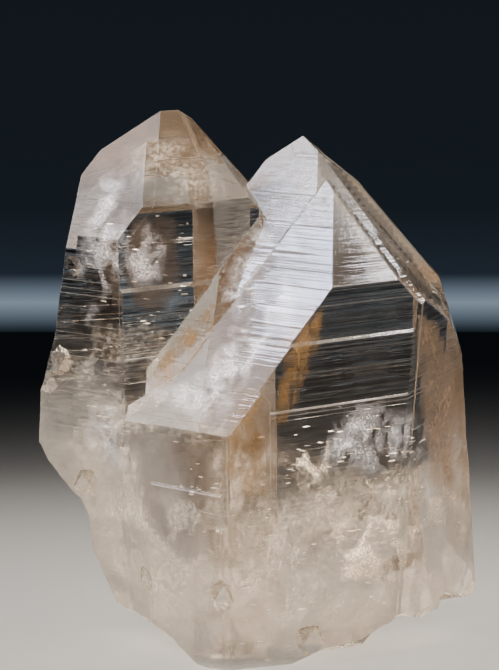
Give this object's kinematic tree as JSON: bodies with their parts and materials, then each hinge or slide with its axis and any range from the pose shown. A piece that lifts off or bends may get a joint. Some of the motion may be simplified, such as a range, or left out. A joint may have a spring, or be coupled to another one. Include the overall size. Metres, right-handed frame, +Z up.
{
  "type": "smoky quartz crystal",
  "caption": "Freestanding smoky quartz specimen: parallel six-sided crystals grown together, with stepped points, a V-shaped gap between the tips and a broken base cut flat.",
  "frame": {"origin": "on the flat cut of the base, under the middle of the piece's box", "axes": "+Z up along the crystals' height, +X to the right of the pictured side, +Y away from the viewer of that side"},
  "size_m": [0.067, 0.05, 0.0799],
  "materials": {
    "smoky_quartz": "clear pale brown quartz: bright growth faces, frosted broken base"
  },
  "bodies": {
    "root": {"smoky_quartz_crystal": "smoky_quartz"}
  },
  "joints": []
}
